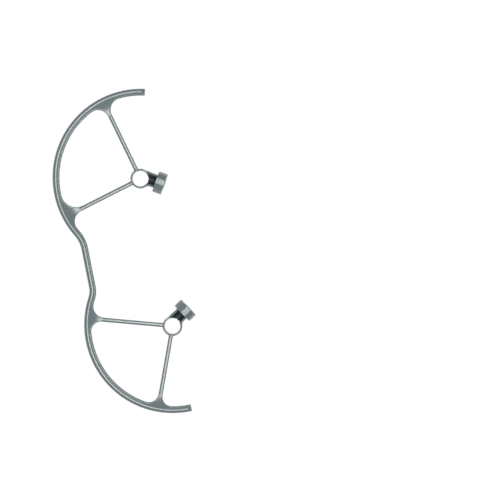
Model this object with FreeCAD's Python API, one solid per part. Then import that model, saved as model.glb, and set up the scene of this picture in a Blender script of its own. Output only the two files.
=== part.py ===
import FreeCAD, Part
import math
import os

# Clip-on propeller guard for one side of a folding camera drone, in millimetres, +Z up.
# The origin is the centre of the front motor ring, on its underside. +Y runs towards the
# front of the drone and -X towards its outer side. The guard lies flat, as it is packed.

# Plan positions
front_ring_centre = (0.0, 0.0)
rear_ring_centre = (41.3, -189.2)
front_rim_offset = (0.9, 1.8)
rear_rim_offset = (0.2, 1.85)
bar_setback = 19.1
bar_lean_deg = 11.3

# Rim, bends and bar
rim_radius = 113.7
rim_band_width = 8.8
bar_width = 8.6
rim_height = 11.2
wall = 1.8
crest_radius = 3.8
crest_shoulder_deg = 30.0
band_slope_deg = 20.0
web_slope_deg = 13.0
web_tip_slope_deg = 6.0
web_slope_depth = 9.6
web_tip_depth = 17.5
web_reach_spare = 1.5
lip_depth = 4.6
lip_width = 1.5
foot_chamfer = 0.5
front_bend_radius = 38.0
rear_bend_radius = 27.0
front_end_deg = 87.5
rear_end_deg = 282.6
end_round_radius = 6.0

# Spokes, and the webs that spread them into the rims
spoke_width = 5.2
spoke_height = 5.2
spoke_top_at_ring = 6.6
spoke_proud = 0.25
spoke_root_radius = 2.0
front_spokes_deg = (115.8, 206.8)
rear_spokes_deg = (174.9, 260.05)
front_web_radii = ((14.5, 14.0), (19.0, 14.5))
rear_web_radii = ((14.5, 12.0), (12.5, 12.0))

# Motor rings
ring_bore_radius = 10.25
ring_wall = 2.3
ring_height = 13.0
ring_chamfer = 0.4

# Cradles for the drone's arms, each with a round journal outside
front_arm_deg = -20.2
rear_arm_deg = 44.1
arm_offset = 3.3
arm_height = 14.0
cradle_radius = 6.4
journal_wall = 1.6
neck_shoulder = 0.5
cradle_wall_rise = 2.5
neck_flare_radius = 6.0
retaining_lip_height = 0.7
retaining_lip_length = 1.3
recess_clearance = 0.3

# Soft liners in the cradles
pad_thickness = 1.0
pad_clearance = 0.12
pad_end_margin = 0.8
pad_wall_drop = 0.7

# Lock collars
collar_sides = 12
collar_across_flats = 26.7
collar_length = 11.4
collar_middle = 26.1
collar_slot_width = 13.6
collar_running_clearance = 0.08
collar_end_clearance = 0.15
collar_chamfer = 0.8
front_collar_turn_deg = -5.5
rear_collar_turn_deg = 7.0

# Sizes that follow from the ones above
ring_radius = ring_bore_radius + ring_wall
journal_radius = cradle_radius + journal_wall
neck_half_width = journal_radius + neck_shoulder
collar_start = collar_middle - collar_length / 2
neck_end = collar_start - collar_end_clearance
recess_radius = journal_radius + retaining_lip_height + recess_clearance
recess_depth = retaining_lip_length + collar_end_clearance
cradle_end = collar_start + collar_length
lip_start = cradle_end - retaining_lip_length
up = FreeCAD.Vector(0, 0, 1)


def point(x, y, z=0.0):
    return FreeCAD.Vector(x, y, z)


def heading(angle_deg):
    """Unit vector in plan at an angle from +X."""
    a = math.radians(angle_deg)
    return FreeCAD.Vector(math.cos(a), math.sin(a), 0)


def angle_of(vector):
    return math.degrees(math.atan2(vector.y, vector.x)) % 360


def line(a, b):
    return Part.LineSegment(a, b).toShape()


def arc(a, middle, b):
    return Part.Arc(a, middle, b).toShape()


def arc_about(centre, radius, start_deg, end_deg):
    """Plan arc from one angle to the other, the way the angle runs."""
    middle_deg = (start_deg + end_deg) / 2
    return arc(centre + heading(start_deg) * radius,
               centre + heading(middle_deg) * radius,
               centre + heading(end_deg) * radius)


def short_arc(centre, a, b):
    """Arc round a centre from a to b, the shorter way."""
    middle = (a - centre) + (b - centre)
    middle.normalize()
    return arc(a, centre + middle * (a - centre).Length, b)


class Rim:
    """One of the two round ends: its circle, its spokes and their webs."""

    def __init__(self, ring_centre, offset, spokes_deg, web_radii):
        self.ring_centre = point(*ring_centre)
        self.centre = self.ring_centre + point(*offset)
        self.spokes_deg = spokes_deg
        self.web_radii = web_radii

    def web_fillet(self, spoke_deg, radius, side, inset):
        """Concave corner between the rim's inner edge and one side of a spoke.

        Returns its centre, where it leaves the rim and where it meets the spoke.
        """
        along = heading(spoke_deg)
        across = heading(spoke_deg + 90) * side
        inner_radius = rim_radius - rim_band_width + inset
        half_width = max(spoke_width / 2 - inset, spoke_width / 20)
        fillet_radius = radius + inset
        start = self.ring_centre + across * (half_width + fillet_radius) - self.centre
        b = start.dot(along)
        c = start.dot(start) - (inner_radius - fillet_radius) ** 2
        reach = -b + math.sqrt(b * b - c)
        centre = self.centre + start + along * reach
        outwards = centre - self.centre
        outwards.normalize()
        on_rim = self.centre + outwards * inner_radius
        on_spoke = self.ring_centre + along * reach + across * half_width
        return centre, on_rim, on_spoke


front = Rim(front_ring_centre, front_rim_offset, front_spokes_deg, front_web_radii)
rear = Rim(rear_ring_centre, rear_rim_offset, rear_spokes_deg, rear_web_radii)

# The bar leans towards the drone as it runs back. Outside is its -X side, and its outer
# edge is set back from the line that touches both rims.
bar_along = heading(bar_lean_deg - 90)
bar_outside = heading(bar_lean_deg - 180)
bar_start = (front.centre + rear.centre) * 0.5 + bar_outside * (rim_radius - bar_setback)


def bend(rim, direction, rim_edge_radius, line_depth, bend_radius):
    """Centre of the round bend between a rim's edge and the bar's edge at a depth inside it."""
    on_line = bar_start - bar_outside * line_depth
    distance = (rim.centre - on_line).dot(bar_outside)
    run = math.sqrt((rim_edge_radius + bend_radius) ** 2 - (bend_radius - distance) ** 2)
    return rim.centre + bar_outside * (bend_radius - distance) + bar_along * (run * direction)


front_bend = bend(front, 1, rim_radius, 0.0, front_bend_radius)
rear_bend = bend(rear, -1, rim_radius, 0.0, rear_bend_radius)
front_arc_end_deg = angle_of(front_bend - front.centre)
rear_arc_start_deg = angle_of(rear_bend - rear.centre)


def rim_inner_edges(rim, start_deg, end_deg, inset):
    """Edges of a rim's inner side, from one angle to the other, round its two webs."""
    inner_radius = rim_radius - rim_band_width + inset
    edges = []
    at_deg = start_deg
    for spoke_deg, (radius_before, radius_after) in zip(rim.spokes_deg, rim.web_radii):
        centre_a, rim_a, spoke_a = rim.web_fillet(spoke_deg, radius_before, -1, inset)
        centre_b, rim_b, spoke_b = rim.web_fillet(spoke_deg, radius_after, 1, inset)
        edges.append(arc_about(rim.centre, inner_radius, at_deg, angle_of(rim_a - rim.centre)))
        edges.append(short_arc(centre_a, rim_a, spoke_a))
        edges.append(line(spoke_a, spoke_b))
        edges.append(short_arc(centre_b, spoke_b, rim_b))
        at_deg = angle_of(rim_b - rim.centre)
    edges.append(arc_about(rim.centre, inner_radius, at_deg, end_deg))
    return edges


def plan_area(inset):
    """Plan of rims, webs and bar, bounded on the inner side and open to the outside.

    An inset draws the inner edges and the two free ends back into the material.
    """
    inner_radius = rim_radius - rim_band_width + inset
    end_inset_deg = math.degrees(inset / rim_radius)
    start_deg = front_end_deg + end_inset_deg
    end_deg = rear_end_deg - end_inset_deg
    front_inner_bend_radius = front_bend_radius + bar_width
    rear_inner_bend_radius = rear_bend_radius + bar_width
    full_inner_radius = rim_radius - rim_band_width
    front_centre = bend(front, 1, full_inner_radius, bar_width, front_inner_bend_radius)
    rear_centre = bend(rear, -1, full_inner_radius, bar_width, rear_inner_bend_radius)
    leave_deg = angle_of(front_centre - front.centre)
    join_deg = angle_of(rear_centre - rear.centre)
    leave = front.centre + heading(leave_deg) * inner_radius
    join = rear.centre + heading(join_deg) * inner_radius
    line_start = front_centre - bar_outside * (front_inner_bend_radius - inset)
    line_end = rear_centre - bar_outside * (rear_inner_bend_radius - inset)

    edges = rim_inner_edges(front, start_deg, leave_deg, inset)
    edges.append(short_arc(front_centre, leave, line_start))
    edges.append(line(line_start, line_end))
    edges.append(short_arc(rear_centre, line_end, join))
    edges += rim_inner_edges(rear, join_deg, end_deg, inset)

    far = rim_radius * 1.5
    front_tip = front.centre + heading(start_deg) * far
    rear_tip = rear.centre + heading(end_deg) * far
    corners = [rear.centre + heading(end_deg) * inner_radius, rear_tip,
               point(-far * 1.5, rear_tip.y), point(-far * 1.5, front_tip.y),
               front_tip, front.centre + heading(start_deg) * inner_radius]
    for a, b in zip(corners, corners[1:]):
        edges.append(line(a, b))
    plan = Part.Face(Part.Wire(edges))
    plan.translate(point(0, 0, -1))
    return plan.extrude(up * (rim_height + 2))


def top_corners(depth):
    """Corners of the dished top, from the end of the crest's arc in to a depth."""
    slope = math.radians(band_slope_deg)
    corners = [point(crest_radius * (1 + math.sin(slope)),
                     rim_height - crest_radius * (1 - math.cos(slope)))]
    for slope_deg, end in ((band_slope_deg, web_slope_depth), (web_slope_deg, web_tip_depth),
                           (web_tip_slope_deg, depth)):
        last = corners[-1]
        drop = (end - last.x) * math.tan(math.radians(slope_deg))
        corners.append(point(end, last.y - drop))
    return corners


def web_reach():
    """Depth to which the webs reach in from the rims' outer edge, with some to spare."""
    depth = rim_band_width
    for rim in (front, rear):
        for spoke_deg, radii in zip(rim.spokes_deg, rim.web_radii):
            for radius, side in zip(radii, (-1, 1)):
                on_spoke = rim.web_fillet(spoke_deg, radius, side, 0.0)[2]
                depth = max(depth, rim_radius - (on_spoke - rim.centre).Length)
    return depth + web_reach_spare


def section_edges(inner):
    """Cross-section of the rim as edges in depth (x) and height (y).

    The outer one is the whole moulding down to the lower edges of its lips, with a round
    crest over a flat shoulder. The inner one is the hollow under it, open below, a wall's
    thickness inside and bevelled under the crest.
    """
    slope = math.radians(band_slope_deg)
    centre = point(crest_radius, rim_height - crest_radius)
    top = top_corners(web_reach())
    if inner:
        radius = crest_radius - wall
        side = centre - point(radius, 0)
        under = [corner - point(0, wall / math.cos(slope)) for corner in top[1:]]
        under.insert(0, centre + point(radius * math.sin(slope), radius * math.cos(slope)))
        corners = [side] + under + [point(under[-1].x, -1), point(side.x, -1), side]
        return [line(a, b) for a, b in zip(corners, corners[1:])]
    far = top[-1]
    lip_at_wall = top[0].y + (top[0].x - wall) * math.tan(slope) - lip_depth
    lip_at_far = max(far.y - lip_depth, 0.0)
    shoulder = math.radians(crest_shoulder_deg)
    arc_start = centre + point(-math.cos(shoulder), math.sin(shoulder)) * crest_radius
    arc_middle = centre + point(-math.sin(shoulder), math.cos(shoulder)) * crest_radius
    side = point(0, rim_height - crest_radius * (1 - math.tan(shoulder / 2)))
    corners = top + [point(far.x, lip_at_far), point(wall, lip_at_wall),
                     point(wall, 0), point(foot_chamfer, 0), point(0, foot_chamfer), side,
                     arc_start]
    edges = [line(a, b) for a, b in zip(corners, corners[1:])]
    return [arc(arc_start, arc_middle, top[0])] + edges


def swept_section(inner):
    """The cross-section carried round the front rim, the bends, the bar and the rear rim."""
    section = Part.Face(Part.Wire(section_edges(inner)))

    def stand(origin, inwards):
        """Copy of the section standing at a point of the outer edge, its depth inwards."""
        side = inwards.cross(up)
        face = section.copy()
        face.Placement = FreeCAD.Placement(origin, FreeCAD.Rotation(inwards, up, side, "XYZ"))
        return face

    def rim_piece(rim, start_deg, end_deg):
        out = heading(start_deg)
        face = stand(rim.centre + out * rim_radius, out * -1)
        return face.revolve(rim.centre, up, end_deg - start_deg)

    def bend_piece(centre, radius, start_deg, end_deg):
        out = heading(start_deg)
        face = stand(centre + out * radius, out)
        return face.revolve(centre, up, end_deg - start_deg)

    bar_in_deg = angle_of(bar_outside * -1)
    front_turn_start = front_arc_end_deg + 180
    front_turn_end = bar_in_deg + 360
    rear_turn_end = rear_arc_start_deg + 180
    bar_from = front_bend - bar_outside * front_bend_radius
    bar_to = rear_bend - bar_outside * rear_bend_radius
    pieces = [
        rim_piece(front, front_end_deg, front_arc_end_deg),
        bend_piece(front_bend, front_bend_radius, front_turn_start, front_turn_end),
        stand(bar_from, bar_outside * -1).extrude(bar_to - bar_from),
        bend_piece(rear_bend, rear_bend_radius, front_turn_end, rear_turn_end),
        rim_piece(rear, rear_arc_start_deg, rear_end_deg),
    ]
    return pieces[0].fuse(pieces[1:]).removeSplitter()


def end_rounding(rim, end_deg, direction):
    """Cutter that rounds the top of a free end, where the rim runs out."""
    radius = end_round_radius
    outer = rim.centre + heading(end_deg) * (rim_radius + 2)
    back = heading(end_deg + 90 * direction)
    across = heading(end_deg) * -(rim_band_width + 4)
    low = outer + up * (rim_height - radius)
    high = outer + up * (rim_height + 1)
    crest = low + back * radius + up * radius
    turn_centre = low + back * radius
    shoulder = turn_centre - back * (radius * math.cos(math.pi / 4))
    shoulder = shoulder + up * (radius * math.sin(math.pi / 4))
    edges = [arc(low, shoulder, crest), line(crest, crest + up),
             line(crest + up, high - back), line(high - back, low - back),
             line(low - back, low)]
    return Part.Face(Part.Wire(edges)).extrude(across)


def spoke(rim, spoke_deg, radii):
    """D-shaped spoke from the motor ring to the web, and on under it as a rib."""
    along = heading(spoke_deg)
    across = heading(spoke_deg + 90)
    tips = [rim.web_fillet(spoke_deg, radius, side, 0.0)[2]
            for radius, side in zip(radii, (-1, 1))]
    tip_reach = max((tip - rim.ring_centre).dot(along) for tip in tips)
    tip_depth = rim_radius - (rim.ring_centre + along * tip_reach - rim.centre).Length
    tip_top = top_corners(tip_depth)[-1].y + spoke_proud
    start_reach = ring_radius - ring_wall / 2
    rise = (tip_top - spoke_top_at_ring) / (tip_reach - ring_radius)
    start_top = spoke_top_at_ring - rise * (ring_radius - start_reach)
    to_centre = rim.ring_centre - rim.centre
    b = to_centre.dot(along)
    c = to_centre.dot(to_centre) - (rim_radius - wall / 2) ** 2
    end_reach = -b + math.sqrt(b * b - c)
    half = spoke_width / 2
    run = along * (end_reach - start_reach) + up * (rise * (end_reach - start_reach))
    square_up = across.cross(run) * -1
    square_up.normalize()
    top = rim.ring_centre + along * start_reach + up * start_top
    shoulder_left = top + across * half - square_up * half
    shoulder_right = top - across * half - square_up * half
    foot_left = top + across * half - square_up * spoke_height
    foot_right = top - across * half - square_up * spoke_height
    edges = [arc(shoulder_right, top, shoulder_left), line(shoulder_left, foot_left),
             line(foot_left, foot_right), line(foot_right, shoulder_right)]
    return Part.Face(Part.Wire(edges)).extrude(run)


def spoke_root(rim, spoke_deg):
    """Flare on both sides of a spoke where it leaves the motor ring."""
    half = spoke_width / 2
    reach = ring_radius + spoke_root_radius
    run = math.sqrt(reach ** 2 - (half + spoke_root_radius) ** 2)
    left_centre = point(run, half + spoke_root_radius)
    right_centre = point(run, -half - spoke_root_radius)
    left_on_ring = left_centre * (ring_radius / reach)
    right_on_ring = right_centre * (ring_radius / reach)
    left_on_spoke = point(run, half)
    right_on_spoke = point(run, -half)
    edges = [line(right_on_spoke, left_on_spoke),
             short_arc(left_centre, left_on_spoke, left_on_ring),
             line(left_on_ring, point(ring_bore_radius + ring_wall / 2, 0)),
             line(point(ring_bore_radius + ring_wall / 2, 0), right_on_ring),
             short_arc(right_centre, right_on_ring, right_on_spoke)]
    flare = Part.Face(Part.Wire(edges)).extrude(up * (spoke_height - half))
    flare.translate(up * (spoke_top_at_ring - spoke_height))
    flare.rotate(point(0, 0), up, spoke_deg)
    flare.translate(rim.ring_centre)
    return flare


def turned(outline, base, axis):
    """Solid of revolution from corner points in the plane of its axis."""
    edges = [line(a, b) for a, b in zip(outline, outline[1:] + outline[:1])]
    return Part.Face(Part.Wire(edges)).revolve(base, axis, 360)


def motor_ring():
    """Ring round the foot of the motor, about its own origin."""
    c = ring_chamfer
    outline = [point(ring_bore_radius, 0, 0), point(ring_radius, 0, 0),
               point(ring_radius, 0, ring_height - c), point(ring_radius - c, 0, ring_height),
               point(ring_bore_radius + c, 0, ring_height),
               point(ring_bore_radius, 0, ring_height - c)]
    return turned(outline, point(0, 0), up)


def arm_cylinder(radius, start, end):
    """Cylinder on the arm's axis, in the cradle's own frame: +X out along the arm."""
    return Part.makeCylinder(radius, end - start, point(start, arm_offset, arm_height),
                             point(1, 0))


def arm_channel(radius, start, end):
    """Round-bottomed channel on the arm's axis, open above."""
    above = Part.makeBox(end - start, 2 * radius, rim_height + ring_height,
                         point(start, arm_offset - radius, arm_height))
    return arm_cylinder(radius, start, end).fuse(above)


def neck():
    """Block that carries the cradle from the ring: one side tangent, the other flared."""
    high = arm_offset + neck_half_width
    low = arm_offset - neck_half_width
    corner = point(neck_end, high)
    tangent_deg = angle_of(corner) + math.degrees(math.acos(min(1, ring_radius / corner.Length)))
    tangent = heading(tangent_deg) * ring_radius
    flare_drop = low - neck_flare_radius
    flare_run = math.sqrt((ring_radius + neck_flare_radius) ** 2 - flare_drop ** 2)
    flare_centre = point(flare_run, flare_drop)
    on_ring = flare_centre * (ring_radius / flare_centre.Length)
    on_neck = point(flare_run, low)
    edges = [line(point(0, 0), tangent), line(tangent, corner),
             line(corner, point(neck_end, low)), line(point(neck_end, low), on_neck),
             short_arc(flare_centre, on_neck, on_ring), line(on_ring, point(0, 0))]
    plan = Part.Face(Part.Wire(edges))
    plan.translate(up * (arm_height - neck_half_width))
    return plan.extrude(up * (neck_half_width + cradle_wall_rise))


def above_walls(drop):
    """All that lies above the cradle's walls, which rise from the ring's top to the journal."""
    ring_top = ring_height - drop
    wall_top = arm_height + cradle_wall_rise - drop
    rise_from = ring_bore_radius / 2
    side = 2 * (ring_radius + journal_radius)
    corners = [point(-side, -side, ring_top), point(rise_from, -side, ring_top),
               point(neck_end, -side, wall_top), point(cradle_end + side, -side, wall_top),
               point(cradle_end + side, -side, wall_top + side), point(-side, -side, wall_top + side)]
    edges = [line(a, b) for a, b in zip(corners, corners[1:] + corners[:1])]
    return Part.Face(Part.Wire(edges)).extrude(point(0, 2 * side))


def retaining_lip():
    """Barbed rim at the journal's end that the collar snaps over."""
    lip_radius = journal_radius + retaining_lip_height
    outline = [point(lip_start, arm_offset, arm_height),
               point(lip_start, arm_offset, arm_height + lip_radius),
               point(cradle_end, arm_offset, arm_height + journal_radius),
               point(cradle_end, arm_offset, arm_height)]
    return turned(outline, point(0, arm_offset, arm_height), point(1, 0))


def ring_and_cradle(ring_centre, arm_deg):
    """Motor ring with its arm cradle and journal, in place."""
    journal = arm_cylinder(journal_radius, neck_end - journal_wall, cradle_end)
    block = neck().fuse([motor_ring(), journal, retaining_lip()])
    bore = Part.makeCylinder(ring_bore_radius, 3 * arm_height, point(0, 0, -1))
    block = block.cut([bore, arm_channel(cradle_radius, 0, cradle_end + 1), above_walls(0.0)])
    return placed(block, ring_centre, arm_deg)


def placed(shape, ring_centre, arm_deg):
    """Move a shape from the cradle's own frame to its ring."""
    shape = shape.copy()
    shape.rotate(point(0, 0), up, arm_deg)
    shape.translate(point(*ring_centre))
    return shape


def cradle_pad(ring_centre, arm_deg):
    """Soft liner of a cradle: a U-shaped strip from the ring's wall to the journal's end."""
    outer_radius = cradle_radius - pad_clearance
    inner_radius = outer_radius - pad_thickness
    end = cradle_end - pad_end_margin
    pad = arm_channel(outer_radius, 0, end).cut(arm_channel(inner_radius, -1, end + 1))
    well = Part.makeCylinder(ring_bore_radius + ring_wall / 2, 3 * arm_height, point(0, 0, -1))
    return placed(pad.cut([well, above_walls(pad_wall_drop)]), ring_centre, arm_deg)


def collar(ring_centre, arm_deg, turn_deg):
    """Twelve-sided C-shaped collar on the journal, its slot down and one flat up."""
    middle = point(0, arm_offset, arm_height)
    corner_radius = collar_across_flats / 2 / math.cos(math.pi / collar_sides)
    step = 360 / collar_sides
    corners = []
    for i in range(collar_sides):
        a = math.radians(step * (i + 0.5))
        corners.append(point(collar_start, 0) + middle
                       + point(0, math.sin(a), math.cos(a)) * corner_radius)
    edges = [line(a, b) for a, b in zip(corners, corners[1:] + corners[:1])]
    body = Part.Face(Part.Wire(edges)).extrude(point(collar_length, 0))
    end_edges = [e for e in body.Edges if e.BoundBox.XLength < collar_length / 2]
    body = body.makeChamfer(collar_chamfer, end_edges)
    bore = arm_cylinder(journal_radius + collar_running_clearance, 0, 2 * cradle_end)
    recess = arm_cylinder(recess_radius, cradle_end - recess_depth, 2 * cradle_end)
    slot = Part.makeBox(2 * cradle_end, collar_slot_width, collar_across_flats,
                        point(0, arm_offset - collar_slot_width / 2,
                              arm_height - collar_across_flats))
    body = body.cut([bore, recess, slot])
    body.rotate(middle, point(1, 0), turn_deg)
    return placed(body, ring_centre, arm_deg)


def guard_frame():
    """The one-piece moulding: rims, bends, bar, webs, spokes, rings and cradles."""
    shell = swept_section(False).common(plan_area(0.0))
    hollow = swept_section(True).common(plan_area(lip_width))
    shell = shell.cut(hollow)
    shell = shell.cut([end_rounding(front, front_end_deg, 1),
                       end_rounding(rear, rear_end_deg, -1)])
    spokes = []
    for rim in (front, rear):
        for spoke_deg, radii in zip(rim.spokes_deg, rim.web_radii):
            spokes.append(spoke(rim, spoke_deg, radii))
            spokes.append(spoke_root(rim, spoke_deg))
    rings = [ring_and_cradle(front_ring_centre, front_arm_deg),
             ring_and_cradle(rear_ring_centre, rear_arm_deg)]
    return shell.fuse(spokes + rings)


def one_solid(shape):
    """The single solid of a moulding, checked."""
    solids = shape.Solids
    if len(solids) != 1 or not shape.isValid():
        raise ValueError(f"expected one valid solid, found {len(solids)}")
    return solids[0]


def build():
    nodes = {
        "guard_frame": guard_frame(),
        "front_lock_collar": collar(front_ring_centre, front_arm_deg, front_collar_turn_deg),
        "rear_lock_collar": collar(rear_ring_centre, rear_arm_deg, rear_collar_turn_deg),
        "front_cradle_pad": cradle_pad(front_ring_centre, front_arm_deg),
        "rear_cradle_pad": cradle_pad(rear_ring_centre, rear_arm_deg),
    }
    os.makedirs("parts", exist_ok=True)
    for name, shape in nodes.items():
        solid = one_solid(shape)
        solid.exportStep(f"parts/{name}.step")
        box = solid.BoundBox
        print(f"{name}: volume {solid.Volume:.0f} mm3, x {box.XMin:.1f} to {box.XMax:.1f}, "
              f"y {box.YMin:.1f} to {box.YMax:.1f}, z {box.ZMin:.2f} to {box.ZMax:.2f}")


build()
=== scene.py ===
import bpy
import math
from functools import partial
from mathutils import Matrix, Vector


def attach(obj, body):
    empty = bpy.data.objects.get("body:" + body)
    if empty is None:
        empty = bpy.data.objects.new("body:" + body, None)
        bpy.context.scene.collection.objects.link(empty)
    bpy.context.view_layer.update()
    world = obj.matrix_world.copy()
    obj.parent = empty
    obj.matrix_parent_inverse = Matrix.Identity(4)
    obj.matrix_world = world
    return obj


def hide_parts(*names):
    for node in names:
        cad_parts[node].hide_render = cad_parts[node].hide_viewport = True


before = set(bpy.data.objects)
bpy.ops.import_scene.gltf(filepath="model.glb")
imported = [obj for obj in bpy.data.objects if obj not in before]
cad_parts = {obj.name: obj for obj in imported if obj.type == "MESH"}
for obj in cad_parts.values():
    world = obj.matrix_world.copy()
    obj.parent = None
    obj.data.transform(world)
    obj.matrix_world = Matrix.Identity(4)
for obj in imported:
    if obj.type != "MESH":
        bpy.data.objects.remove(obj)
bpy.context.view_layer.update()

# A drone propeller guard, lying flat and seen from straight above. Sizes are in metres.
mm = 0.001

# Plan of the guard: two rims, the bar between them, and the spokes to the motor rings
front_ring_centre = Vector((0.0, 0.0, 0.0))
rear_ring_centre = Vector((41.3, -189.2, 0.0)) * mm
front_rim_offset = Vector((0.9, 1.8, 0.0)) * mm
rear_rim_offset = Vector((0.2, 1.85, 0.0)) * mm
bar_setback = 19.1 * mm
bar_lean_deg = 11.3
rim_radius = 113.7 * mm
rim_band_width = 8.8 * mm
bar_width = 8.6 * mm
front_bend_radius = 38.0 * mm
rear_bend_radius = 27.0 * mm
front_end_deg = 87.5
rear_end_deg = 282.6
front_spokes_deg = (115.8, 206.8)
rear_spokes_deg = (174.9, 260.05)
front_web_radii = ((14.5 * mm, 14.0 * mm), (19.0 * mm, 14.5 * mm))
rear_web_radii = ((14.5 * mm, 12.0 * mm), (12.5 * mm, 12.0 * mm))

# Cross-section of the moulding: a round crest, a dished top, and lips round a hollow
rim_height = 11.2 * mm
wall = 1.8 * mm
crest_radius = 3.8 * mm
crest_turn_deg = 110.0
dish_steady_depth = 9.0 * mm
dish_depth = 27.5 * mm
dish_slope = math.tan(math.radians(20.5))
dish_slope_at_tip = math.tan(math.radians(4.0))
lip_depth = 3.8 * mm
lip_width = 1.5 * mm
soft_edge = 0.3 * mm
foot_edge = 0.5 * mm
bead_width = 1.6 * mm
bead_height = 0.1 * mm
bead_steps = 6
end_round_radius = 6.0 * mm

# Spokes
spoke_width = 5.2 * mm
spoke_height = 5.2 * mm
spoke_top_at_ring = 6.6 * mm
spoke_crown = 1.0 * mm
spoke_proud = 0.25 * mm
spoke_root_radius = 2.0 * mm

# Motor rings, and the cradles on them for the drone's arms
ring_bore_radius = 10.25 * mm
ring_wall = 2.3 * mm
ring_height = 13.0 * mm
ring_edge = 1.1 * mm
front_arm_deg = -20.2
rear_arm_deg = 44.1
arm_offset = 3.3 * mm
arm_height = 14.0 * mm
cradle_radius = 6.4 * mm
journal_radius = 8.0 * mm
neck_half_width = 8.5 * mm
neck_end = 20.25 * mm
cradle_end = 31.8 * mm
cradle_wall_rise = 2.5 * mm
neck_flare_radius = 6.0 * mm
retaining_lip_height = 0.7 * mm
retaining_lip_length = 1.3 * mm
moulded_edge = 0.25 * mm

# Collars and liners
collar_sides = 12
collar_across_flats = 26.7 * mm
collar_length = 11.4 * mm
collar_middle = 26.1 * mm
collar_bore_radius = 8.08 * mm
collar_recess_radius = 9.0 * mm
collar_recess_depth = 1.45 * mm
collar_slot_width = 13.6 * mm
collar_end_edge = 0.5 * mm
collar_long_edge = 0.2 * mm
front_collar_turn_deg = -5.5
rear_collar_turn_deg = 7.0
liner_outer_radius = 6.28 * mm
liner_inner_radius = 5.28 * mm
liner_start = 11.0 * mm
liner_end = 31.0 * mm
liner_wall_drop = 0.7 * mm

# How finely the curves are divided
arc_step = 1.5 * mm
corner_steps = 16
tip_steps = 4
crest_steps = 10
inner_steps = 4
dish_rows = 12
round_sides = 96

# Camera: straight down on the guard, framed as in the photograph
picture_centre = Vector((0.1407, -0.0916, 0.0))
picture_width = 0.6415
camera_height = 2.5
sharp_plane_height = 0.009
sensor_width_mm = 36.0

# Light: a round soft panel overhead, and an even fill
panel_height = 3.0
panel_size = 1.8
panel_shift = Vector((0.15, 0.0, 0.0))
panel_radiance = 6.3
fill_strength = 0.28

# Colours, and how they vary
grey = (0.183, 0.232, 0.242)
worn_grey = (0.26, 0.31, 0.32)
black = (0.022, 0.032, 0.036)
worn_black = (0.05, 0.055, 0.06)
cloud_size = 30 * mm
cloud_strength = 0.06
gloss_spread = 0.03
wear_patch_size = 6 * mm
wear_from = 0.52
wear_to = 0.62
wear_amount = 0.35
wear_roughness = 0.08
grip_lines = 96
grip_depth = 0.01 * mm

# Floor: white to the camera, with the guard's own soft shadow
floor_size = 6.0
floor_drop = 0.0005
floor_colour = 0.35
floor_glow = 0.8


# Plan geometry

def heading(angle_deg):
    a = math.radians(angle_deg)
    return Vector((math.cos(a), math.sin(a), 0.0))


def angle_of(vector):
    return math.degrees(math.atan2(vector.y, vector.x)) % 360


def between(a, b, share):
    return a + (b - a) * share


class Rim:
    """One of the two round ends: its circle, its spokes and their webs."""

    def __init__(self, ring_centre, offset, spokes_deg, web_radii):
        self.ring_centre = ring_centre
        self.centre = ring_centre + offset
        self.spokes_deg = spokes_deg
        self.web_radii = web_radii

    def depth(self, place):
        """How far a place lies in from the rim's outer edge."""
        return rim_radius - (place - self.centre).to_2d().length


class WebCorner:
    """Concave corner between a rim's inner edge and one side of a spoke."""

    def __init__(self, rim, spoke_deg, radius, side):
        along = heading(spoke_deg)
        across = heading(spoke_deg + 90) * side
        inner_radius = rim_radius - rim_band_width
        start = rim.ring_centre + across * (spoke_width / 2 + radius) - rim.centre
        b = start.dot(along)
        c = start.dot(start) - (inner_radius - radius) ** 2
        self.reach = -b + math.sqrt(b * b - c)
        self.centre = rim.centre + start + along * self.reach
        self.radius = radius
        self.from_deg = angle_of(self.centre - rim.centre)
        turn = (angle_of(across * -1) - self.from_deg + 180) % 360 - 180
        self.turn_deg = turn

    def edge(self, share, inset):
        """Place on the corner's edge, from the rim (0) to the spoke (1), drawn back by an inset."""
        out = heading(self.from_deg + self.turn_deg * share)
        return self.centre + out * (self.radius + inset)


def tip_edge(before, after, along, share, inset):
    """Place on the web's end, across the spoke."""
    return between(before.edge(1, inset), after.edge(1, inset), share) + along * inset


front = Rim(front_ring_centre, front_rim_offset, front_spokes_deg, front_web_radii)
rear = Rim(rear_ring_centre, rear_rim_offset, rear_spokes_deg, rear_web_radii)
bar_along = heading(bar_lean_deg - 90)
bar_outside = heading(bar_lean_deg - 180)
bar_start = (front.centre + rear.centre) * 0.5 + bar_outside * (rim_radius - bar_setback)


class Bend:
    """Round bend between a rim and the bar: one arc for the outer edge and one for the inner."""

    def __init__(self, rim, direction, radius):
        self.rim = rim
        self.outer_radius = radius
        self.inner_radius = radius + bar_width
        self.outer = self.turn_centre(direction, rim_radius, 0.0, radius)
        self.inner = self.turn_centre(direction, rim_radius - rim_band_width, bar_width, self.inner_radius)
        self.outer_rim_deg = angle_of(self.outer - rim.centre)
        self.inner_rim_deg = angle_of(self.inner - rim.centre)
        bar_deg = angle_of(bar_outside * -1) + 360
        self.outer_turn_deg = bar_deg - self.outer_rim_deg - 180
        self.inner_turn_deg = bar_deg - self.inner_rim_deg - 180

    def turn_centre(self, direction, rim_edge_radius, line_depth, radius):
        on_line = bar_start - bar_outside * line_depth
        distance = (self.rim.centre - on_line).dot(bar_outside)
        run = math.sqrt((rim_edge_radius + radius) ** 2 - (radius - distance) ** 2)
        return self.rim.centre + bar_outside * (radius - distance) + bar_along * (run * direction)

    def outer_place(self, share):
        """Place on the outer edge, from the rim (0) to the bar (1)."""
        out = heading(self.outer_rim_deg + 180 + self.outer_turn_deg * share)
        return self.outer + out * self.outer_radius

    def inner_place(self, share, inset):
        out = heading(self.inner_rim_deg + 180 + self.inner_turn_deg * share)
        return self.inner + out * (self.inner_radius - inset)


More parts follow.
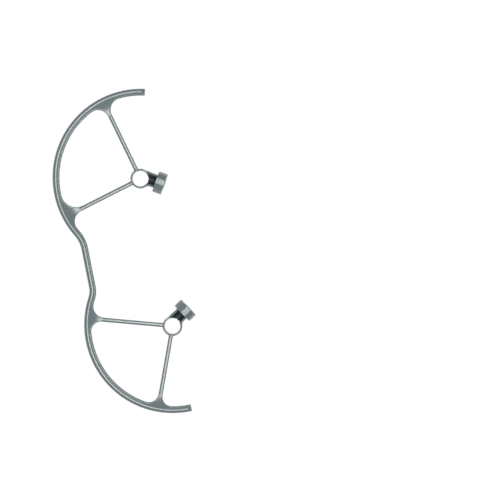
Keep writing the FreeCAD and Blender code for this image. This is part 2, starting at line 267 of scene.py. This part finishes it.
front_bend = Bend(front, 1, front_bend_radius)
rear_bend = Bend(rear, -1, rear_bend_radius)


# Slices across the moulding

class Slice:
    """One slice across rim, web, bend or bar: an outer place and the inner edge opposite it."""

    def __init__(self, outer, inwards, edge, rim=None, from_end=None, hollow=True):
        self.outer = outer
        self.inwards = inwards
        self.edge = edge
        self.rim = rim
        self.from_end = from_end
        self.hollow = hollow

    def depth(self, place):
        if self.rim:
            return self.rim.depth(place)
        return (place - self.outer).dot(self.inwards)


def band_slice(rim, outer_deg, inner_deg, from_end=None, hollow=True):
    """Slice across a plain stretch of a rim."""
    def edge(inset):
        return rim.centre + heading(inner_deg) * (rim_radius - rim_band_width + inset)

    outer = rim.centre + heading(outer_deg) * rim_radius
    return Slice(outer, heading(outer_deg) * -1, edge, rim, from_end, hollow)


def band_slices(rim, outer_from, outer_to, inner_from, inner_to):
    """Slices between two angles of a rim, without the first and last."""
    steps = max(2, round(math.radians(abs(outer_to - outer_from)) * rim_radius / arc_step))
    slices = []
    for i in range(1, steps):
        share = i / steps
        slices.append(band_slice(rim, outer_from + (outer_to - outer_from) * share,
                                 inner_from + (inner_to - inner_from) * share))
    return slices


def end_slices(rim, end_deg, direction):
    """Slices of a free end, from its end face in to the foot of its rounding."""
    gaps = []
    round_steps = 10
    for i in range(round_steps + 1):
        gaps.append((end_round_radius * (1 - math.cos(math.pi / 2 * i / round_steps)), None))
    slices = []
    for gap, _ in gaps:
        angle = end_deg + direction * math.degrees(gap / rim_radius)
        if gap > lip_width and slices[-1].from_end < lip_width:
            turn = end_deg + direction * math.degrees(lip_width / rim_radius)
            slices.append(band_slice(rim, turn, turn, lip_width, hollow=False))
            slices.append(band_slice(rim, turn, turn, lip_width, hollow=True))
        slices.append(band_slice(rim, angle, angle, gap, hollow=gap > lip_width))
    return slices


def web_slices(rim, spoke_deg, radii):
    """Slices that fan out from a rim's outer edge over the web of a spoke."""
    before = WebCorner(rim, spoke_deg, radii[0], -1)
    after = WebCorner(rim, spoke_deg, radii[1], 1)
    along = heading(spoke_deg)
    edges = [partial(before.edge, i / corner_steps) for i in range(corner_steps + 1)]
    edges += [partial(tip_edge, before, after, along, i / tip_steps) for i in range(1, tip_steps)]
    edges += [partial(after.edge, 1 - i / corner_steps) for i in range(corner_steps + 1)]
    slices = []
    for i, edge in enumerate(edges):
        angle = before.from_deg + (after.from_deg - before.from_deg) * i / (len(edges) - 1)
        outer = rim.centre + heading(angle) * rim_radius
        slices.append(Slice(outer, heading(angle) * -1, edge, rim))
    return slices, before.from_deg, after.from_deg


def rim_slices(rim, outer_from, outer_to, inner_from, inner_to):
    """Slices of a rim between two places, with its webs."""
    slices = []
    outer_at = outer_from
    inner_at = inner_from
    for spoke_deg, radii in zip(rim.spokes_deg, rim.web_radii):
        web, web_from, web_to = web_slices(rim, spoke_deg, radii)
        slices += band_slices(rim, outer_at, web_from, inner_at, web_from)
        slices += web
        outer_at = web_to
        inner_at = web_to
    return slices + band_slices(rim, outer_at, outer_to, inner_at, inner_to)


def bend_slices(bend, backwards):
    """Slices round a bend, from its rim to the bar, or back."""
    steps = max(4, round(math.radians(abs(bend.outer_turn_deg)) * bend.outer_radius / arc_step))
    slices = []
    for i in range(steps + 1):
        share = 1 - i / steps if backwards else i / steps
        outer = bend.outer_place(share)
        inwards = bend.inner_place(share, 0.0) - outer
        inwards.normalize()
        slices.append(Slice(outer, inwards, partial(bend.inner_place, share)))
    return slices


def bar_slices():
    """Slices along the straight bar, without its two ends."""
    outer_a = front_bend.outer_place(1)
    outer_b = rear_bend.outer_place(1)
    steps = 24
    slices = []
    for i in range(1, steps):
        share = i / steps

        def edge(inset, share=share):
            return between(front_bend.inner_place(1, inset), rear_bend.inner_place(1, inset), share)

        slices.append(Slice(between(outer_a, outer_b, share), bar_outside * -1, edge))
    return slices


def all_slices():
    """Slices of the whole moulding in order, from the front free end to the rear one."""
    start = end_slices(front, front_end_deg, 1)
    finish = end_slices(rear, rear_end_deg, -1)
    rounding_deg = math.degrees(end_round_radius / rim_radius)
    front_from = front_end_deg + rounding_deg
    rear_to = rear_end_deg - rounding_deg
    slices = start
    slices += rim_slices(front, front_from, front_bend.outer_rim_deg, front_from, front_bend.inner_rim_deg)
    slices += bend_slices(front_bend, False)
    slices += bar_slices()
    slices += bend_slices(rear_bend, True)
    slices += rim_slices(rear, rear_bend.outer_rim_deg, rear_to, rear_bend.inner_rim_deg, rear_to)
    return slices + finish[::-1]


def top_height(depth):
    """Height of the dished top at a depth in from the outer edge."""
    turn = math.radians(crest_turn_deg - 90)
    start = crest_radius * (1 + math.sin(turn))
    crest = rim_height - crest_radius * (1 - math.cos(turn))
    run = min(depth, dish_depth) - start
    eased = min(depth, dish_depth) - dish_steady_depth
    past = max(depth - dish_depth, 0.0)
    ease = (dish_slope - dish_slope_at_tip) / (2 * (dish_depth - dish_steady_depth))
    return crest - dish_slope * run + ease * max(eased, 0.0) ** 2 - dish_slope_at_tip * past


def slice_loop(piece):
    """Closed loop of points round a slice: up its outer side, over the top, round the lip and back."""
    out = piece.outer
    inwards = piece.inwards
    limit = rim_height
    if piece.from_end is not None and piece.from_end < end_round_radius:
        run = end_round_radius - piece.from_end
        limit += math.sqrt(end_round_radius ** 2 - run ** 2) - end_round_radius
    loop = []

    def add(place, height):
        loop.append(Vector((place.x, place.y, height)))

    def top(place):
        return min(top_height(piece.depth(place)), limit)

    def lip_height(place):
        return min(top_height(piece.depth(place)) - lip_depth, limit - wall)

    def under(place, height):
        """A point of the hollow, which a solid stretch fills down to the lip's edge."""
        add(place, min(height, limit - wall) if piece.hollow else lip_height(place))

    def round_crest(radius, turn_deg):
        """Place and height on an arc round the crest's own axis."""
        turn = math.radians(turn_deg)
        place = out + inwards * (crest_radius - radius * math.cos(turn))
        return place, rim_height - crest_radius + radius * math.sin(turn)

    add(out, foot_edge)
    for i in range(crest_steps + 1):
        place, height = round_crest(crest_radius, crest_turn_deg * i / crest_steps)
        add(place, min(height, limit))
    crest_end = place
    bead_foot = piece.edge(bead_width)
    rows = [between(crest_end, bead_foot, i / dish_rows) for i in range(1, dish_rows + 1)]
    for place in rows:
        add(place, top(place))
    for i in range(1, bead_steps + 1):
        share = i / bead_steps
        place = piece.edge(bead_width * (1 - share))
        rise = bead_height * math.sin(math.pi * min(share * 1.25, 1.0)) - soft_edge * share ** 6
        add(place, top(place) + rise)
    edge = piece.edge(0.0)
    low = lip_height(edge)
    add(edge, low + soft_edge)
    add(piece.edge(soft_edge), low)
    add(piece.edge(lip_width - soft_edge), low)
    inner = piece.edge(lip_width)
    add(inner, low + soft_edge if piece.hollow else lip_height(inner))
    for place in [inner] + rows[::-1] + [crest_end]:
        under(place, top_height(piece.depth(place)) - wall)
    for i in range(inner_steps + 1):
        under(*round_crest(crest_radius - wall, 90 * (1 - i / inner_steps)))
    add(out + inwards * wall, soft_edge)
    add(out + inwards * (wall - soft_edge), 0.0)
    add(out + inwards * foot_edge, 0.0)
    return loop


# Making pieces

def new_piece(name, points, faces):
    mesh = bpy.data.meshes.new(name)
    mesh.from_pydata([tuple(p) for p in points], [], faces)
    piece = bpy.data.objects.new(name, mesh)
    bpy.context.scene.collection.objects.link(piece)
    return piece


def select_only(piece):
    bpy.ops.object.select_all(action="DESELECT")
    piece.select_set(True)
    bpy.context.view_layer.objects.active = piece


def face_outwards(piece):
    """Merge doubled points and turn every face outwards."""
    select_only(piece)
    bpy.ops.object.mode_set(mode="EDIT")
    bpy.ops.mesh.select_all(action="SELECT")
    bpy.ops.mesh.remove_doubles(threshold=0.002 * mm)
    bpy.ops.mesh.normals_make_consistent(inside=False)
    bpy.ops.object.mode_set(mode="OBJECT")


def loft(name, loops):
    """Closed skin over loops of equal length, capped at both ends."""
    count = len(loops[0])
    points = [p for loop in loops for p in loop]
    faces = []
    for i in range(len(loops) - 1):
        for j in range(count):
            k = (j + 1) % count
            faces.append((i * count + j, i * count + k, (i + 1) * count + k, (i + 1) * count + j))
    faces.append(tuple(range(count)))
    faces.append(tuple(range((len(loops) - 1) * count, len(loops) * count)))
    piece = new_piece(name, points, faces)
    face_outwards(piece)
    return piece


def apply_modifiers(piece):
    select_only(piece)
    for modifier in list(piece.modifiers):
        bpy.ops.object.modifier_apply(modifier=modifier.name)


def combine(piece, other, operation):
    """Join or cut a piece with another one, which is used up."""
    modifier = piece.modifiers.new(operation.lower(), "BOOLEAN")
    modifier.operation = operation
    modifier.solver = "EXACT"
    modifier.object = other
    apply_modifiers(piece)
    bpy.data.objects.remove(other)


def soften(piece, width, segments, angle_deg):
    """Round the edges that are sharper than an angle."""
    modifier = piece.modifiers.new("soften", "BEVEL")
    modifier.width = width
    modifier.segments = segments
    modifier.limit_method = "ANGLE"
    modifier.angle_limit = math.radians(angle_deg)
    apply_modifiers(piece)


def soften_edges(piece, wanted, width, segments):
    """Round the edges whose two ends pass a test."""
    select_only(piece)
    bpy.ops.object.mode_set(mode="EDIT")
    bpy.ops.mesh.select_all(action="DESELECT")
    bpy.ops.object.mode_set(mode="OBJECT")
    bpy.context.tool_settings.mesh_select_mode = (False, True, False)
    for edge in piece.data.edges:
        a, b = (piece.data.vertices[i].co for i in edge.vertices)
        edge.select = wanted(a, b)
    bpy.ops.object.mode_set(mode="EDIT")
    bpy.ops.mesh.bevel(offset=width, segments=segments)
    bpy.ops.object.mode_set(mode="OBJECT")


def smooth(piece, angle_deg):
    """Shade curves smooth and flat faces flat, with corners sharper than an angle kept."""
    select_only(piece)
    bpy.ops.object.shade_smooth_by_angle(angle=math.radians(angle_deg))
    weighting = piece.modifiers.new("weighted", "WEIGHTED_NORMAL")
    weighting.keep_sharp = True
    apply_modifiers(piece)


def place_at_hub(piece, ring_centre, arm_deg):
    """Move a piece from the cradle's own frame, +X out along the arm, to its motor ring."""
    piece.data.transform(Matrix.Translation(ring_centre) @ Matrix.Rotation(math.radians(arm_deg), 4, "Z"))


def rod(name, radius, start, end, sides=round_sides):
    """Round rod on the arm's axis, in the cradle's own frame."""
    bpy.ops.object.select_all(action="DESELECT")
    bpy.ops.mesh.primitive_cylinder_add(
        vertices=sides, radius=radius, depth=end - start, rotation=(0, math.pi / 2, 0),
        location=((start + end) / 2, arm_offset, arm_height))
    piece = bpy.context.object
    piece.name = name
    bpy.ops.object.transform_apply(location=True, rotation=True, scale=True)
    return piece


def post(name, radius, bottom, top):
    """Upright round rod on the ring's axis."""
    bpy.ops.object.select_all(action="DESELECT")
    bpy.ops.mesh.primitive_cylinder_add(
        vertices=round_sides, radius=radius, depth=top - bottom, location=(0, 0, (bottom + top) / 2))
    piece = bpy.context.object
    piece.name = name
    bpy.ops.object.transform_apply(location=True, rotation=True, scale=True)
    return piece


def block(name, low, high):
    """Box between two corners."""
    low = Vector(low)
    high = Vector(high)
    bpy.ops.object.select_all(action="DESELECT")
    bpy.ops.mesh.primitive_cube_add(size=1.0, location=(low + high) / 2)
    piece = bpy.context.object
    piece.name = name
    piece.scale = high - low
    bpy.ops.object.transform_apply(location=True, rotation=True, scale=True)
    return piece


def slab(name, outline, bottom, height):
    """Flat outline in plan, extruded upwards."""
    piece = new_piece(name, [Vector((p.x, p.y, bottom)) for p in outline], [tuple(range(len(outline)))])
    select_only(piece)
    bpy.ops.object.mode_set(mode="EDIT")
    bpy.ops.mesh.select_all(action="SELECT")
    bpy.ops.mesh.extrude_region_move(TRANSFORM_OT_translate={"value": (0, 0, height)})
    bpy.ops.object.mode_set(mode="OBJECT")
    face_outwards(piece)
    return piece


def arm_channel(name, radius, start, end):
    """Round-bottomed channel on the arm's axis, open above."""
    channel = rod(name, radius, start, end)
    above = block("above", (start, arm_offset - radius, arm_height),
                  (end, arm_offset + radius, arm_height + ring_height))
    combine(channel, above, "UNION")
    return channel


def wall_top(x):
    """Height of the cradle's walls, which rise from the ring's top to the journal."""
    rise_start = ring_bore_radius / 2
    share = min(max((x - rise_start) / (neck_end - rise_start), 0.0), 1.0)
    return between(ring_height, arm_height + cradle_wall_rise, share)


def wall_top_edge(a, b):
    """Whether an edge is a long one on top of a cradle's walls."""
    near = 0.01 * mm
    on_top = all(abs(p.z - wall_top(p.x)) < near and p.x > ring_bore_radius + ring_wall for p in (a, b))
    return on_top and (a - b).length > 2 * mm


def above_walls(drop):
    """All that lies above the cradle's walls."""
    side = 60 * mm
    profile = [(x, wall_top(x) - drop) for x in (-side, ring_bore_radius / 2, neck_end, cradle_end + side)]
    profile += [(cradle_end + side, side), (-side, side)]
    loops = [[Vector((x, y, z)) for x, z in profile] for y in (-side, side)]
    return loft("above_walls", loops)


# The one-piece moulding

def spoke(rim, spoke_deg, radii):
    """Round-topped spoke that flares at the motor ring and runs on under the web as a rib."""
    along = heading(spoke_deg)
    across = heading(spoke_deg + 90)
    tips = [WebCorner(rim, spoke_deg, radius, side).edge(1, 0.0) for radius, side in zip(radii, (-1, 1))]
    tip_reach = max((tip - rim.ring_centre).dot(along) for tip in tips)
    tip_top = top_height(rim.depth(rim.ring_centre + along * tip_reach)) + spoke_proud
    ring_radius = ring_bore_radius + ring_wall
    start_reach = ring_bore_radius + ring_wall / 2
    rise = (tip_top - spoke_top_at_ring) / (tip_reach - ring_radius)
    to_centre = rim.ring_centre - rim.centre
    b = to_centre.dot(along)
    c = to_centre.dot(to_centre) - (rim_radius - wall / 2) ** 2
    end_reach = -b + math.sqrt(b * b - c)
    half = spoke_width / 2
    flare_from = math.sqrt((ring_radius + spoke_root_radius) ** 2 - (half + spoke_root_radius) ** 2)
    flare_steps = 8
    reaches = [start_reach]
    reaches += [ring_radius + (flare_from - ring_radius) * i / flare_steps for i in range(flare_steps + 1)]
    reaches += [between(flare_from, tip_reach, i / 12) for i in range(1, 13)]
    reaches.append(end_reach)
    loops = []
    for reach in reaches:
        run = min(max(flare_from - reach, 0.0), spoke_root_radius * 0.9)
        wide = half + spoke_root_radius - math.sqrt(spoke_root_radius ** 2 - run ** 2)
        top = spoke_top_at_ring + rise * (reach - ring_radius)
        centre = rim.ring_centre + along * reach
        loop = []
        for i in range(15):
            turn = math.pi * i / 14
            loop.append(centre + across * (wide * math.cos(turn))
                        + Vector((0, 0, top - spoke_crown * (1 - math.sin(turn)))))
        foot = top - spoke_height
        for offset, height in ((-wide, soft_edge), (-wide + soft_edge, 0.0), (wide - soft_edge, 0.0),
                               (wide, soft_edge)):
            loop.append(centre + across * offset + Vector((0, 0, foot + height)))
        loops.append(loop)
    return loft("spoke", loops)


def motor_ring():
    """Ring round the foot of the motor: a rounded profile spun about its own axis."""
    bpy.ops.object.select_all(action="DESELECT")
    bpy.ops.mesh.primitive_plane_add(
        size=1.0, rotation=(math.pi / 2, 0, 0),
        location=(ring_bore_radius + ring_wall / 2, 0, ring_height / 2))
    ring = bpy.context.object
    ring.name = "motor_ring"
    ring.scale = (ring_wall, ring_height, 1.0)
    bpy.ops.object.transform_apply(location=True, rotation=True, scale=True)
    bpy.ops.object.mode_set(mode="EDIT")
    bpy.ops.mesh.select_all(action="SELECT")
    bpy.ops.mesh.bevel(offset=ring_edge, segments=4, affect="VERTICES")
    bpy.ops.mesh.select_all(action="SELECT")
    bpy.ops.mesh.spin(steps=round_sides, angle=math.radians(360), center=(0, 0, 0), axis=(0, 0, 1))
    bpy.ops.object.mode_set(mode="OBJECT")
    return ring


def neck_outline():
    """Plan of the neck: one side tangent to the ring, the other flared into it."""
    ring_radius = ring_bore_radius + ring_wall
    high = arm_offset + neck_half_width
    low = arm_offset - neck_half_width
    corner = Vector((neck_end, high, 0.0))
    tangent_deg = angle_of(corner) + math.degrees(math.acos(min(1, ring_radius / corner.length)))
    drop = low - neck_flare_radius
    run = math.sqrt((ring_radius + neck_flare_radius) ** 2 - drop ** 2)
    flare_centre = Vector((run, drop, 0.0))
    on_ring_deg = angle_of(flare_centre * -1)
    steps = 10
    outline = [Vector((0, 0, 0)), heading(tangent_deg) * ring_radius, corner,
               Vector((neck_end, low, 0.0))]
    for i in range(steps + 1):
        outline.append(flare_centre + heading(90 + (on_ring_deg - 90) * i / steps) * neck_flare_radius)
    return outline


def hub(ring_centre, arm_deg):
    """Motor ring with its neck, cradle and journal."""
    body = slab("hub", neck_outline(), arm_height - neck_half_width, neck_half_width + cradle_wall_rise)
    journal = rod("journal", journal_radius, neck_end - 1.6 * mm, cradle_end)
    barb = rod("barb", journal_radius, cradle_end - retaining_lip_length, cradle_end)
    flare = 1 + retaining_lip_height / journal_radius
    for vertex in barb.data.vertices:
        if vertex.co.x < cradle_end - retaining_lip_length / 2:
            vertex.co.y = arm_offset + (vertex.co.y - arm_offset) * flare
            vertex.co.z = arm_height + (vertex.co.z - arm_height) * flare
    combine(body, journal, "UNION")
    combine(body, barb, "UNION")
    ring_core = post("core", ring_bore_radius + ring_wall / 2, -1 * mm, 3 * arm_height)
    combine(body, ring_core, "DIFFERENCE")
    combine(body, arm_channel("channel", cradle_radius, 0.0, cradle_end + 1 * mm), "DIFFERENCE")
    combine(body, above_walls(0.0), "DIFFERENCE")
    ring = motor_ring()
    face_outwards(ring)
    combine(ring, arm_channel("channel", cradle_radius, 0.0, cradle_end), "DIFFERENCE")
    combine(body, ring, "UNION")
    soften_edges(body, wall_top_edge, moulded_edge, 2)
    place_at_hub(body, ring_centre, arm_deg)
    return body


def moulding():
    """Rims, webs, bends and bar as one skin, joined with the spokes and hubs."""
    piece = loft("guard_moulding", [slice_loop(s) for s in all_slices()])
    for rim in (front, rear):
        for spoke_deg, radii in zip(rim.spokes_deg, rim.web_radii):
            combine(piece, spoke(rim, spoke_deg, radii), "UNION")
    combine(piece, hub(front_ring_centre, front_arm_deg), "UNION")
    combine(piece, hub(rear_ring_centre, rear_arm_deg), "UNION")
    smooth(piece, 32)
    return piece


# Collars and liners

def lock_collar(name, ring_centre, arm_deg, turn_deg):
    """Twelve-sided C-shaped collar on the journal, with softened corners."""
    start = collar_middle - collar_length / 2
    end = collar_middle + collar_length / 2
    corner_radius = collar_across_flats / 2 / math.cos(math.pi / collar_sides)
    piece = rod(name, corner_radius, start, end, collar_sides)
    middle = Matrix.Translation((0, arm_offset, arm_height))
    half_side = Matrix.Rotation(math.pi / collar_sides, 4, "X")
    piece.data.transform(middle @ half_side @ middle.inverted())
    soften_edges(piece, lambda a, b: abs(a.x - b.x) < collar_end_edge / 10, collar_end_edge, 3)
    soften_edges(piece, lambda a, b: abs(a.x - b.x) > collar_length / 2, collar_long_edge, 3)
    combine(piece, rod("bore", collar_bore_radius, 0.0, 2 * cradle_end), "DIFFERENCE")
    combine(piece, rod("recess", collar_recess_radius, cradle_end - collar_recess_depth, 2 * cradle_end),
            "DIFFERENCE")
    slot = block("slot", (0, arm_offset - collar_slot_width / 2, arm_height - collar_across_flats),
                 (2 * cradle_end, arm_offset + collar_slot_width / 2, arm_height))
    combine(piece, slot, "DIFFERENCE")
    soften(piece, moulded_edge, 2, 50)
    turn = Matrix.Rotation(math.radians(turn_deg), 4, "X")
    piece.data.transform(middle @ turn @ middle.inverted())
    place_at_hub(piece, ring_centre, arm_deg)
    smooth(piece, 25)
    return piece


def cradle_liner(name, ring_centre, arm_deg):
    """Soft U-shaped liner of a cradle."""
    piece = arm_channel(name, liner_outer_radius, 0.0, liner_end)
    combine(piece, arm_channel("inside", liner_inner_radius, -1 * mm, liner_end + 1 * mm), "DIFFERENCE")
    combine(piece, post("well", liner_start, -1 * mm, 3 * arm_height), "DIFFERENCE")
    combine(piece, above_walls(liner_wall_drop), "DIFFERENCE")
    soften(piece, moulded_edge, 2, 40)
    place_at_hub(piece, ring_centre, arm_deg)
    smooth(piece, 32)
    return piece


# Materials

class Nodes:
    """Adds nodes to a tree, and links or sets their inputs by name or number."""

    def __init__(self, tree):
        self.tree = tree

    def add(self, kind, inputs=None, **settings):
        node = self.tree.nodes.new("ShaderNode" + kind)
        for key, value in settings.items():
            setattr(node, key, value)
        for key, value in (inputs or {}).items():
            self.set(node.inputs[key], value)
        return node

    def set(self, socket, value):
        if isinstance(value, bpy.types.NodeSocket):
            self.tree.links.new(value, socket)
        else:
            socket.default_value = value

    def maths(self, operation, a, b=0.0):
        return self.add("Math", {0: a, 1: b}, operation=operation).outputs[0]

    def mix(self, share, a, b):
        node = self.add("Mix", {"Factor": share}, data_type="RGBA")
        self.set(node.inputs[6], a)
        self.set(node.inputs[7], b)
        return node.outputs[2]


def new_group(name, inputs, outputs):
    """Empty node group, given its inputs as (name, type, value) and outputs as (name, type)."""
    tree = bpy.data.node_groups.new(name, "ShaderNodeTree")
    for label, kind, value in inputs:
        socket = tree.interface.new_socket(name=label, in_out="INPUT", socket_type="NodeSocket" + kind)
        socket.default_value = value
    for label, kind in outputs:
        tree.interface.new_socket(name=label, in_out="OUTPUT", socket_type="NodeSocket" + kind)
    nodes = Nodes(tree)
    return nodes, nodes.tree.nodes.new("NodeGroupInput").outputs, nodes.tree.nodes.new("NodeGroupOutput").inputs


def grain_group():
    """Fine moulded grain: a height for bumps, and a slow cloudiness."""
    nodes, given, result = new_group("moulded_grain", [("Size", "Float", 1.0)], [("Height", "Float"),
                                                                                ("Cloud", "Float")])
    place = nodes.add("TexCoord").outputs["Object"]
    per_metre = nodes.maths("DIVIDE", 1.0, given["Size"])
    fine = nodes.add("TexNoise", {"Vector": place, "Scale": per_metre, "Detail": 3.0, "Roughness": 0.6})
    slow = nodes.add("TexNoise", {"Vector": place, "Scale": 1 / cloud_size, "Detail": 4.0})
    nodes.set(result["Height"], fine.outputs["Fac"])
    nodes.set(result["Cloud"], slow.outputs["Fac"])
    return nodes.tree


def wear_group():
    """How far a place is rubbed: strongest on edges, broken up by noise."""
    nodes, given, result = new_group("edge_wear", [("Amount", "Float", 0.5)], [("Mask", "Float")])
    place = nodes.add("TexCoord").outputs["Object"]
    sharpness = nodes.add("NewGeometry").outputs["Pointiness"]
    edge = nodes.add("MapRange", {"Value": sharpness, "From Min": wear_from, "From Max": wear_to})
    patches = nodes.add("TexNoise", {"Vector": place, "Scale": 1 / wear_patch_size, "Detail": 5.0})
    broken = nodes.add("MapRange", {"Value": patches.outputs["Fac"], "From Min": 0.4, "From Max": 0.65})
    rubbed = nodes.maths("MULTIPLY", edge.outputs["Result"], broken.outputs["Result"])
    nodes.set(result["Mask"], nodes.maths("MULTIPLY", rubbed, given["Amount"]))
    return nodes.tree


def lines_group():
    """Fine grip lines along an arm's axis, as a height that goes round the axis in waves."""
    nodes, given, result = new_group(
        "grip_lines", [("Hub X", "Float", 0.0), ("Hub Y", "Float", 0.0), ("Arm Heading", "Float", 0.0)],
        [("Height", "Float")])
    place = nodes.add("TexCoord").outputs["Object"]
    hub_place = nodes.add("CombineXYZ", {"X": given["Hub X"], "Y": given["Hub Y"]}).outputs[0]
    back = nodes.maths("MULTIPLY", given["Arm Heading"], -1.0)
    turned = nodes.add("VectorRotate", {"Vector": place, "Center": hub_place, "Angle": back},
                       rotation_type="Z_AXIS").outputs[0]
    own = nodes.add("VectorMath", {0: turned, 1: hub_place}, operation="SUBTRACT").outputs[0]
    parts = nodes.add("SeparateXYZ", {0: own}).outputs
    sideways = nodes.maths("SUBTRACT", parts["Y"], arm_offset)
    upwards = nodes.maths("SUBTRACT", parts["Z"], arm_height)
    angle = nodes.maths("ARCTAN2", upwards, sideways)
    wave = nodes.maths("SINE", nodes.maths("MULTIPLY", angle, grip_lines))
    reach = nodes.maths("SQRT", nodes.maths("ADD", nodes.maths("MULTIPLY", sideways, sideways),
                                            nodes.maths("MULTIPLY", upwards, upwards)))
    on_grip = nodes.maths("GREATER_THAN", reach, collar_across_flats / 2 - collar_long_edge)
    nodes.set(result["Height"], nodes.maths("MULTIPLY", wave, on_grip))
    return nodes.tree


def grouped(nodes, group, inputs):
    node = nodes.add("Group", node_tree=group)
    for key, value in inputs.items():
        nodes.set(node.inputs[key], value)
    return node.outputs


def plastic(name, colour, worn_colour, roughness, specular, grain_size, grain_depth, grip=None):
    """Moulded plastic or rubber: cloudy colour, uneven gloss, grain, rubbed edges and grip lines."""
    material = bpy.data.materials.new(name)
    material.use_nodes = True
    shader = material.node_tree.nodes["Principled BSDF"]
    nodes = Nodes(material.node_tree)
    grain = grouped(nodes, moulded_grain, {"Size": grain_size})
    wear = grouped(nodes, edge_wear, {"Amount": wear_amount})
    dark = tuple(c * (1 - cloud_strength) for c in colour) + (1.0,)
    light = tuple(c * (1 + cloud_strength) for c in colour) + (1.0,)
    clouded = nodes.mix(grain["Cloud"], dark, light)
    nodes.set(shader.inputs["Base Color"], nodes.mix(wear["Mask"], clouded, (*worn_colour, 1.0)))
    gloss = nodes.add("MapRange", {"Value": grain["Cloud"], "To Min": roughness - gloss_spread,
                                   "To Max": roughness + gloss_spread}).outputs["Result"]
    nodes.set(shader.inputs["Roughness"], nodes.maths("ADD", gloss, nodes.maths(
        "MULTIPLY", wear["Mask"], wear_roughness)))
    shader.inputs["Specular IOR Level"].default_value = specular
    bump = nodes.add("Bump", {"Height": grain["Height"], "Distance": grain_depth})
    if grip:
        ring_centre, arm_deg = grip
        lines = grouped(nodes, grip_line_group, {"Hub X": ring_centre.x, "Hub Y": ring_centre.y,
                                                 "Arm Heading": math.radians(arm_deg)})
        bump = nodes.add("Bump", {"Height": lines["Height"], "Distance": grip_depth,
                                  "Normal": bump.outputs["Normal"]})
    nodes.set(shader.inputs["Normal"], bump.outputs["Normal"])
    return material


def dress(piece, material, body, node):
    """Give a piece its material, and put it in its node's place."""
    piece.data.materials.clear()
    piece.data.materials.append(material)
    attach(piece, body)
    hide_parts(node)


# Floor, light and camera

def seen_directly(tree):
    """Socket that is 1 for camera, mirror and glass rays, and 0 for the light's own rays."""
    path = tree.nodes.new("ShaderNodeLightPath")
    straight = tree.nodes.new("ShaderNodeMath")
    straight.operation = "MAXIMUM"
    tree.links.new(path.outputs["Is Camera Ray"], straight.inputs[0])
    tree.links.new(path.outputs["Is Glossy Ray"], straight.inputs[1])
    every = tree.nodes.new("ShaderNodeMath")
    every.operation = "MAXIMUM"
    tree.links.new(straight.outputs[0], every.inputs[0])
    tree.links.new(path.outputs["Is Transmission Ray"], every.inputs[1])
    return every.outputs[0]


def floor():
    bpy.ops.object.select_all(action="DESELECT")
    bpy.ops.mesh.primitive_plane_add(
        size=floor_size, location=(picture_centre.x, picture_centre.y, -floor_drop))
    plane = bpy.context.object
    plane.name = "floor"
    material = bpy.data.materials.new("white_floor")
    material.use_nodes = True
    tree = material.node_tree
    shader = tree.nodes["Principled BSDF"]
    shader.inputs["Base Color"].default_value = (floor_colour, floor_colour, floor_colour, 1.0)
    shader.inputs["Roughness"].default_value = 1.0
    shader.inputs["Specular IOR Level"].default_value = 0.0
    shader.inputs["Emission Color"].default_value = (1.0, 1.0, 1.0, 1.0)
    glow = tree.nodes.new("ShaderNodeMath")
    glow.operation = "MULTIPLY"
    glow.inputs[1].default_value = floor_glow
    tree.links.new(seen_directly(tree), glow.inputs[0])
    tree.links.new(glow.outputs[0], shader.inputs["Emission Strength"])
    plane.data.materials.append(material)


def lights():
    lamp = bpy.data.lights.new("overhead_panel", "AREA")
    lamp.shape = "DISK"
    lamp.size = panel_size
    lamp.energy = math.pi * math.pi * (panel_size / 2) ** 2 * panel_radiance
    holder = bpy.data.objects.new("overhead_panel", lamp)
    holder.location = picture_centre + panel_shift + Vector((0, 0, panel_height))
    bpy.context.scene.collection.objects.link(holder)

    world = bpy.data.worlds.new("studio")
    bpy.context.scene.world = world
    world.use_nodes = True
    tree = world.node_tree
    background = tree.nodes["Background"]
    background.inputs["Color"].default_value = (1.0, 1.0, 1.0, 1.0)
    path = tree.nodes.new("ShaderNodeLightPath")
    strength = tree.nodes.new("ShaderNodeMapRange")
    strength.inputs["To Min"].default_value = fill_strength
    strength.inputs["To Max"].default_value = 1.0
    tree.links.new(path.outputs["Is Camera Ray"], strength.inputs["Value"])
    tree.links.new(strength.outputs["Result"], background.inputs["Strength"])


def camera():
    data = bpy.data.cameras.new("camera")
    data.sensor_width = sensor_width_mm
    data.lens = sensor_width_mm * (camera_height - sharp_plane_height) / picture_width
    holder = bpy.data.objects.new("camera", data)
    holder.location = picture_centre + Vector((0, 0, camera_height))
    bpy.context.scene.collection.objects.link(holder)
    bpy.context.scene.camera = holder


moulded_grain = grain_group()
edge_wear = wear_group()
grip_line_group = lines_group()
guard_grey = plastic("guard_grey", grey, worn_grey, 0.2, 1.0, 0.5 * mm, 0.002 * mm)
front_grey = plastic("front_collar_grey", grey, worn_grey, 0.2, 1.0, 0.5 * mm, 0.002 * mm,
                     (front_ring_centre, front_arm_deg))
rear_grey = plastic("rear_collar_grey", grey, worn_grey, 0.2, 1.0, 0.5 * mm, 0.002 * mm,
                    (rear_ring_centre, rear_arm_deg))
liner_black = plastic("liner_black", black, worn_black, 0.6, 0.5, 0.35 * mm, 0.012 * mm)

dress(moulding(), guard_grey, "frame", "guard_frame")
dress(lock_collar("front_collar_shell", front_ring_centre, front_arm_deg, front_collar_turn_deg),
      front_grey, "front_collar", "front_lock_collar")
dress(lock_collar("rear_collar_shell", rear_ring_centre, rear_arm_deg, rear_collar_turn_deg),
      rear_grey, "rear_collar", "rear_lock_collar")
dress(cradle_liner("front_liner", front_ring_centre, front_arm_deg),
      liner_black, "frame", "front_cradle_pad")
dress(cradle_liner("rear_liner", rear_ring_centre, rear_arm_deg),
      liner_black, "frame", "rear_cradle_pad")
floor()
lights()
camera()
bpy.context.scene.view_settings.view_transform = "Standard"
